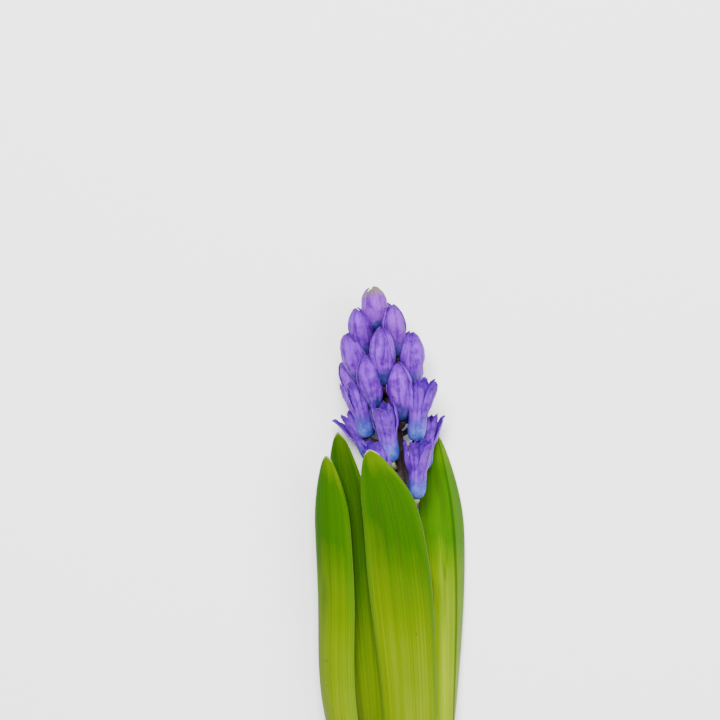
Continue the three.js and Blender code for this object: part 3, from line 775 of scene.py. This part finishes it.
def thicken(piece, wall, chance, crumpling):
    """Gives the tepals their thickness, a groove along each midrib, an uneven surface and crumpled tips."""
    give_wall(piece, wall)
    start = Vector((chance.uniform(0, 90), chance.uniform(0, 90), chance.uniform(0, 90)))
    outwards = [Vector((vertex.co.x, vertex.co.y, 0)).normalized() for vertex in piece.data.vertices]
    facings = [vertex.normal.dot(out) for vertex, out in zip(piece.data.vertices, outwards)]
    write_mark(piece, "inner", [clamp(0.3 - facing * 2) for facing in facings])
    marks = read_mark(piece, "along"), read_mark(piece, "across")
    for vertex, out, along, across in zip(piece.data.vertices, outwards, *marks):
        free = grow(along, 0.25, 0.25)
        groove = math.exp(-(across / 0.16) ** 2) * free
        coarse, fine = (noise.noise(start + vertex.co / (size * MM)) for size in WAVE_LENGTHS)
        wave = (coarse + 0.5 * fine) * (0.35 + free)
        vertex.co += out * (wave * WAVE_HEIGHT - groove * GROOVE_DEPTH) * MM
        place = start + vertex.co / (CRUMPLE_LENGTH * MM)
        crumple = Vector(noise.noise(place + Vector((0, 0, axis * 17.3))) for axis in range(3))
        vertex.co += crumple * grow(along, 0.72, 0.2) * crumpling * MM


def mark_clearance(piece, alone):
    """Notes how far each point stands clear of the stalk: 0 deep between the florets, 1 outside."""
    middles = [(stalk_frame(y)[0] + PLAN_ORIGIN) * MM for y in range(int(STALK_TIP_Y) + 1)]
    clear = []
    for vertex in piece.data.vertices:
        middle = middles[min(max(int(vertex.co.y / MM - PLAN_ORIGIN.y), 0), len(middles) - 1)]
        off = math.hypot(vertex.co.x - middle.x, vertex.co.z - middle.z) / MM
        clear.append(1.0 if alone else grow(off, GAP_FROM, GAP_OVER))
    write_mark(piece, "clear", clear)


def finish_floret(piece, floret, kind, material, slot):
    name = f"{slot}_{floret['number']:02d}"
    write_mark(piece, "kind", kind)
    hand_over(piece, name, material, floret_matrix(floret), floret["name"])
    mark_clearance(piece, floret["level"] == 0)


# Settings
def length_setting(name, description, default, **limits):
    return FloatProperty(name=name, description=description, default=default, unit="LENGTH", **limits)


def color_setting(name, description, default):
    return FloatVectorProperty(name=name, description=description, default=default, subtype="COLOR")


class FloretSettings(bpy.types.PropertyGroup):
    wall: length_setting("Tepal thickness", "Thickness of a tepal", 0.0006, min=0.0003, max=0.001)
    tube_until: FloatProperty(name="Tube reach", description="How far up a floret its blue reaches",
                              default=0.42, min=0.1, max=0.9, subtype="FACTOR")
    bud_color: color_setting("Bud", "Violet of a shut bud", (0.075, 0.003, 0.24))
    # A bud's lilac is partly its own colour and partly painted highlight
    bud_light_color: color_setting("Bud light", "Lilac on a bud's flanks", (0.188, 0.028, 0.56))
    bloom_color: color_setting("Floret", "Violet of an opening floret", (0.068, 0.003, 0.265))
    # An opening floret's lilac is partly its own colour and partly painted highlight
    bloom_light_color: color_setting("Floret light", "Lilac of an opening floret", (0.176, 0.034, 0.555))
    deep_color: color_setting("Streak", "Dark violet of midribs and streaks", (0.022, 0.001, 0.095))
    pink_color: color_setting("Young bud", "Pinkish lilac of the uppermost buds", (0.165, 0.025, 0.335))
    tube_color: color_setting("Tube", "Blue of a floret's tube", (0.018, 0.055, 0.28))
    tube_light_color: color_setting("Tube light", "Paler blue of a floret's tube", (0.068, 0.135, 0.50))


class LeafSettings(bpy.types.PropertyGroup):
    thickness: length_setting("Thickness", "Thickness of a leaf", LEAF_THICKNESS * MM)
    low_color: color_setting("Lower", "Yellow-green of a leaf's lower half", (0.117, 0.172, 0.0001))
    high_color: color_setting("Upper", "Green of a leaf's upper half", (0.019, 0.076, 0.0003))


class StalkSettings(bpy.types.PropertyGroup):
    grain: length_setting("Mesh size", "Size of the mesh that joins stalk and floret stems", 0.0005)
    # A dark purple-brown, set darker still as painted shade, since the stalk shows in the gaps among the
    # florets
    skin_color: color_setting("Skin", "Dark skin of the stalk", (0.013, 0.006, 0.008))
    stem_color: color_setting("Floret stem", "Pale end of a floret's stem", (0.15, 0.165, 0.075))


class StageSettings(bpy.types.PropertyGroup):
    floor_color: color_setting("Floor", "Colour of the floor", (0.86, 0.86, 0.86))
    view_width: length_setting("View width", "How much of the flower the camera takes in", 0.3096)
    lens: FloatProperty(name="Lens", description="Focal length in millimetres", default=200.0)


class HYACINTH_OT_buds(bpy.types.Operator):
    """Models the shut buds of the upper four whorls"""
    bl_idname = "hyacinth.buds"
    bl_label = "Shut buds"

    def execute(self, context):
        look = context.scene.hyacinth_florets
        material = petal_finish(
            "bud_petals", look, look.bud_color, look.bud_light_color, rib_strength=0.26, tube_shade=0.4,
            tip_from=0.88, tube_share=0.76, foot_shade=0.8)
        chance = random.Random(5)
        for floret in lay_florets():
            if not floret["open"]:
                piece = model_floret(floret, TUBE_BUD, bud_rows, chance)
                thicken(piece, look.wall, chance, BUD_CRUMPLING)
                kind = floret["level"] * KIND_STEP + chance.uniform(0, 0.09)
                if floret["level"] == 0:
                    kind = max(0.0, kind - 0.05)
                finish_floret(piece, floret, kind, material, "bud")
        return {"FINISHED"}


class HYACINTH_OT_blooms(bpy.types.Operator):
    """Models the opening florets of the lower two whorls, each with its own opening"""
    bl_idname = "hyacinth.blooms"
    bl_label = "Opening florets"

    def execute(self, context):
        look = context.scene.hyacinth_florets
        material = petal_finish(
            "bloom_petals", look, look.bloom_color, look.bloom_light_color, rib_strength=0.5, tube_shade=0.9,
            tip_from=0.74, tube_share=1.0, foot_shade=0.0)
        chance = random.Random(9)
        for floret in lay_florets():
            if floret["open"]:
                piece = model_floret(floret, TUBE_BLOOM, bloom_rows, chance)
                thicken(piece, look.wall, chance, BLOOM_CRUMPLING)
                finish_floret(piece, floret, 0.5 + chance.uniform(0, 0.4), material, "bloom")
        return {"FINISHED"}


# Leaves
def curve_point(points, part):
    """A smooth curve through points, as the solids' leaves follow it."""
    last = len(points) - 1
    place = last * part
    index = min(int(place), last - 1)
    weight = place - index
    p1, p2 = points[index], points[index + 1]
    p0 = points[index - 1] if index else p1 * 2 - p2
    p3 = points[index + 2] if index + 2 <= last else p2 * 2 - p1
    d0, d1, d2 = ((b - a).length ** 0.5 for a, b in ((p0, p1), (p1, p2), (p2, p3)))
    d1 = d1 if d1 > 1e-4 else 1.0
    d0 = d0 if d0 > 1e-4 else d1
    d2 = d2 if d2 > 1e-4 else d1
    leave = ((p1 - p0) / d0 - (p2 - p0) / (d0 + d1) + (p2 - p1) / d1) * d1
    meet = ((p2 - p1) / d1 - (p3 - p1) / (d1 + d2) + (p3 - p2) / d2) * d1
    return (p1 + leave * weight + (p2 * 3 - p1 * 3 - leave * 2 - meet) * weight**2
            + (p1 * 2 - p2 * 2 + leave + meet) * weight**3)


LeafRow = namedtuple("LeafRow", "middle roll half sag place")


def leaf_rows(leaf):
    """A leaf's rows from its collar to its tip, each an arc."""
    roll, curl, layer = leaf["collar"]
    reach = STALK_RADII[0] + (layer + 1) * (SEAT_GAP + LEAF_THICKNESS)
    outwards = Vector((math.sin(math.radians(roll)), 0, math.cos(math.radians(roll))))
    wrapped = [stalk_frame(y)[0] + outwards * reach for y in (0, COLLAR_HEIGHT)]
    wrapped_form = Vector((reach * math.radians(curl), roll, curl))
    line = [*wrapped, *(Vector(point) for point in leaf["line"])]
    form = [wrapped_form, wrapped_form.copy(), *(Vector(point) for point in leaf["form"])]
    rows = []
    for row in range(LEAF_ROWS + 1):
        at = 1 - (1 - row / LEAF_ROWS) ** LEAF_ROW_CROWDING
        middle = (curve_point(line, at) + PLAN_ORIGIN) * MM
        width, turned, bend = curve_point(form, at)
        rounding = max(0.0, (at - LEAF_ROUND_FROM) / (1 - LEAF_ROUND_FROM))
        half = max(width * math.sqrt(1 - rounding**2), LEAF_LEAST_HALF_WIDTH) * MM
        bend = math.radians(bend)
        radius = half / bend
        sag = radius * (1 - math.cos(bend))
        rows.append(LeafRow(middle, math.radians(turned), radius * math.sin(bend), sag, at))
    return rows


def model_leaf(leaf):
    """An arc drawn into a channelled blade, row by row along the leaf. It stays in edit mode."""
    rows = leaf_rows(leaf)
    last = rows[0]
    arc = math.radians(LEAF_ARC)
    radius = 10 * MM
    top = Vector((0, 0, radius))
    deselect()
    bpy.ops.mesh.primitive_circle_add(vertices=LEAF_ARC_SIDES, radius=radius, rotation=(math.pi / 2, 0, 0))
    piece = bpy.context.active_object
    bpy.ops.object.transform_apply(location=True, rotation=True, scale=True)
    bpy.ops.object.mode_set(mode="EDIT")
    bpy.context.tool_settings.mesh_select_mode = (True, False, False)
    shape = bmesh.from_edit_mesh(piece.data)
    for vertex in shape.verts:
        vertex.select_set(abs(math.atan2(vertex.co.x, vertex.co.z)) > arc + 0.01)
    bmesh.update_edit_mesh(piece.data)
    bpy.ops.mesh.delete(type="VERT")
    bpy.ops.mesh.select_all(action="SELECT")
    mark(piece, "across", lambda point: math.atan2(point.x, point.z) / arc)
    stretch(last.half / (math.sin(arc) * radius), 1, last.sag / ((1 - math.cos(arc)) * radius), top)
    shape = bmesh.from_edit_mesh(piece.data)
    layer = shape.verts.layers.float["across"]
    for vertex in shape.verts:
        vertex.co.z += leaf["keel"] * KEEL_HEIGHT * last.half * (1 - abs(vertex[layer]))
    bmesh.update_edit_mesh(piece.data)
    bpy.ops.transform.translate(value=last.middle - top)
    turn(last.roll, "Y", last.middle)
    mark(piece, "along", 0.0)
    bpy.context.tool_settings.mesh_select_mode = (False, True, False)
    bpy.ops.mesh.select_all(action="SELECT")
    for row in rows[1:]:
        bpy.ops.mesh.extrude_edges_move()
        turn(-last.roll, "Y", last.middle)
        stretch(row.half / last.half, 1, row.sag / last.sag, last.middle)
        turn(row.roll, "Y", last.middle)
        bpy.ops.transform.translate(value=row.middle - last.middle)
        mark(piece, "along", row.place)
        last = row
    return piece


def press_flat(piece, depth):
    """Flattens what lies lower than a depth, and lets the piece down by it."""
    shape = bmesh.from_edit_mesh(piece.data)
    for vertex in shape.verts:
        vertex.co.z = max(0.0, vertex.co.z - depth)
    bmesh.update_edit_mesh(piece.data)


def raise_ridge(piece, at, outwards):
    """Folds a leaf's margin over: a low crest along one line, from which the margin falls away."""
    marks = read_mark(piece, "along"), read_mark(piece, "across")
    for vertex, along, across in zip(piece.data.vertices, *marks):
        beyond = across - at
        if beyond < 0:
            lift = max(0.0, 1 + beyond / RIDGE_RISE)
        else:
            lift = max(RIDGE_END, 1 - beyond / RIDGE_FALL)
        full = grow(along, 0.0, 0.25) * grow(1 - along, 0.0, 0.125)
        vertex.co += outwards * lift * full * RIDGE_HEIGHT * MM


def finish_leaf(piece, name, look, material, kind):
    leaf = LEAVES[name]
    roll = math.radians(leaf["collar"][0])
    outwards = Vector((math.sin(roll), 0, math.cos(roll)))
    bpy.ops.mesh.select_all(action="SELECT")
    bpy.ops.mesh.normals_make_consistent(inside=False)
    faces = bmesh.from_edit_mesh(piece.data).faces
    if sum(face.normal.dot(outwards) * face.calc_area() for face in faces) < 0:
        bpy.ops.mesh.flip_normals()
    bpy.ops.object.mode_set(mode="OBJECT")
    give_wall(piece, look.thickness)
    if "ridge" in leaf:
        raise_ridge(piece, leaf["ridge"], outwards)
    write_mark(piece, "kind", kind)
    write_mark(piece, "folded", float("ridge" in leaf))
    write_mark(piece, "shade", leaf.get("shade", 0.0))
    hand_over(piece, name + "_blade", material, Matrix.Identity(4), name)


class HYACINTH_OT_leaves(bpy.types.Operator):
    """Models the five strap leaves"""
    bl_idname = "hyacinth.leaves"
    bl_label = "Leaves"

    def execute(self, context):
        look = context.scene.hyacinth_leaves
        material = leaf_finish("leaf_blade", look)
        for number, (name, leaf) in enumerate(LEAVES.items()):
            piece = model_leaf(leaf)
            if name == "leaf_under":
                press_flat(piece, UNDER_LEAF_PRESS * MM)
            finish_leaf(piece, name, look, material, 0.13 + number * 0.21)
        return {"FINISHED"}


# The stalk
# Where a floret's stem turns pale, in millimetres off the stalk, and up to which height stems do. Higher
# stems keep the stalk's dark skin, as painted shade in the gaps among the buds
PALE_FROM = 2.0
PALE_OVER = 5.0
PALE_BELOW_Y = 203


def add_tube(curve, points, radii):
    """Adds a tube along points of the plan to a curve object's data."""
    spline = curve.splines.new("POLY")
    spline.points.add(len(points) - 1)
    for point, place, radius in zip(spline.points, points, radii):
        point.co = (*((place + PLAN_ORIGIN) * MM), 1.0)
        point.radius = radius


def model_stalk(grain):
    """The stalk and the floret stems, drawn as tubes and joined in one mesh."""
    deselect()
    bpy.ops.curve.primitive_nurbs_path_add()
    piece = bpy.context.active_object
    curve = piece.data
    curve.splines.clear()
    curve.bevel_depth = MM
    curve.bevel_resolution = 5
    curve.use_fill_caps = True
    stations = [arch(*STALK_LINE, step / STALK_STEPS) for step in range(STALK_STEPS + 1)]
    add_tube(curve, stations, [stalk_radius(point.y) for point in stations])
    parts = [step / PEDICEL_STEPS for step in range(PEDICEL_STEPS + 1)]
    for floret in lay_florets():
        root = stalk_frame(min(floret["at"], STALK_TIP_Y) - PEDICEL_DROP)[0]
        seat = floret["base"] - floret["axis"] * SEAT_GAP
        below = seat - floret["axis"] * PEDICEL_DROP * 0.8
        points = [arch(root, below, seat, part) for part in parts]
        add_tube(curve, points, [lerp(*PEDICEL_RADII, part) for part in parts])
    only(piece)
    bpy.ops.object.convert(target="MESH")
    piece = bpy.context.active_object
    fuse = piece.modifiers.new("fuse", "REMESH")
    fuse.mode = "VOXEL"
    fuse.voxel_size = grain
    soften = piece.modifiers.new("soften", "SMOOTH")
    soften.factor = 0.6
    soften.iterations = 3
    apply_modifiers(piece)
    return piece


def mark_stalk(piece):
    """Notes where each point lies along and round the stalk, and how pale its floret stem is there."""
    along, around, pale = [], [], []
    for vertex in piece.data.vertices:
        place = vertex.co / MM - PLAN_ORIGIN
        point, _, front, side = stalk_frame(min(max(place.y, 0.0), STALK_TIP_Y))
        arm = place - point
        away = arm.length - stalk_radius(place.y)
        along.append(place.y / STALK_TIP_Y)
        around.append(abs(math.atan2(arm.dot(side), arm.dot(front))))
        pale.append(grow(away, PALE_FROM, PALE_OVER) if place.y < PALE_BELOW_Y else 0.0)
    write_mark(piece, "along", along)
    write_mark(piece, "around", around)
    write_mark(piece, "pale", pale)


class HYACINTH_OT_stalk(bpy.types.Operator):
    """Models the stalk with the short stems that carry the florets"""
    bl_idname = "hyacinth.stalk"
    bl_label = "Stalk"

    def execute(self, context):
        look = context.scene.hyacinth_stalk
        piece = model_stalk(look.grain)
        mark_stalk(piece)
        hand_over(piece, "stalk", stalk_finish("stalk_skin", look), Matrix.Identity(4), "scape")
        return {"FINISHED"}


# The stage, in metres
FLOOR_SIZE = 8.0
ROOM_COLOR = (0.95, 0.97, 1.0, 1.0)
ROOM_STRENGTH = 0.38
# Each lamp's place, size and power
LAMPS = {"key": ((-0.12, 0.6, 1.4), 0.6, 73.0), "fill": ((0.8, 0.1, 1.2), 1.0, 22.0)}
LAMPS_AIM = Vector((0, 0.05, 0))
# Where the camera looks straight down, in the plan's millimetres
VIEW_MIDDLE = Vector((-17.2, 238.65, 25.0))


class HYACINTH_OT_stage(bpy.types.Operator):
    """Sets the floor, the lamps and the camera"""
    bl_idname = "hyacinth.stage"
    bl_label = "Stage"

    def execute(self, context):
        look = context.scene.hyacinth_stage
        deselect()
        bpy.ops.mesh.primitive_plane_add(size=FLOOR_SIZE)
        floor = context.active_object
        floor.name = "floor"
        finish = Finish("floor_paint", Roughness=0.8, Base_Color=(*look.floor_color, 1.0))
        floor.data.materials.append(finish.material)

        world = bpy.data.worlds.new("soft_room")
        world.use_nodes = True
        background = world.node_tree.nodes["Background"]
        background.inputs["Color"].default_value = ROOM_COLOR
        background.inputs["Strength"].default_value = ROOM_STRENGTH
        context.scene.world = world

        for name, (place, size, power) in LAMPS.items():
            bpy.ops.object.light_add(type="AREA", location=place)
            lamp = context.active_object
            lamp.name = name
            lamp.data.size = size
            lamp.data.energy = power
            lamp.rotation_euler = (LAMPS_AIM - Vector(place)).to_track_quat("-Z", "Y").to_euler()

        data = bpy.data.cameras.new("camera")
        data.lens = look.lens
        data.sensor_fit = "HORIZONTAL"
        camera = bpy.data.objects.new("camera", data)
        away = Vector((0, 0, look.view_width * data.lens / data.sensor_width))
        camera.location = (VIEW_MIDDLE + PLAN_ORIGIN) * MM + away
        context.scene.collection.objects.link(camera)
        context.scene.camera = camera
        return {"FINISHED"}


class HYACINTH_PT_panel(bpy.types.Panel):
    bl_label = "Hyacinth"
    bl_space_type = "VIEW_3D"
    bl_region_type = "UI"
    bl_category = "Hyacinth"

    def draw(self, context):
        scene = context.scene
        for settings, operators in (
                (scene.hyacinth_stalk, (HYACINTH_OT_stalk,)),
                (scene.hyacinth_florets, (HYACINTH_OT_buds, HYACINTH_OT_blooms)),
                (scene.hyacinth_leaves, (HYACINTH_OT_leaves,)),
                (scene.hyacinth_stage, (HYACINTH_OT_stage,))):
            box = self.layout.box()
            for name in settings.__annotations__:
                box.prop(settings, name)
            for operator in operators:
                box.operator(operator.bl_idname)


SETTINGS = {
    "hyacinth_florets": FloretSettings, "hyacinth_leaves": LeafSettings,
    "hyacinth_stalk": StalkSettings, "hyacinth_stage": StageSettings,
}
CLASSES = (
    *SETTINGS.values(), HYACINTH_OT_stalk, HYACINTH_OT_buds, HYACINTH_OT_blooms, HYACINTH_OT_leaves,
    HYACINTH_OT_stage, HYACINTH_PT_panel,
)


def register():
    for item in CLASSES:
        bpy.utils.register_class(item)
    for name, settings in SETTINGS.items():
        setattr(bpy.types.Scene, name, PointerProperty(type=settings))


def unregister():
    for name in SETTINGS:
        delattr(bpy.types.Scene, name)
    for item in reversed(CLASSES):
        bpy.utils.unregister_class(item)


def main():
    register()
    bpy.ops.hyacinth.stage()
    bpy.ops.hyacinth.stalk()
    bpy.ops.hyacinth.buds()
    bpy.ops.hyacinth.blooms()
    bpy.ops.hyacinth.leaves()


if __name__ == "__main__":
    main()
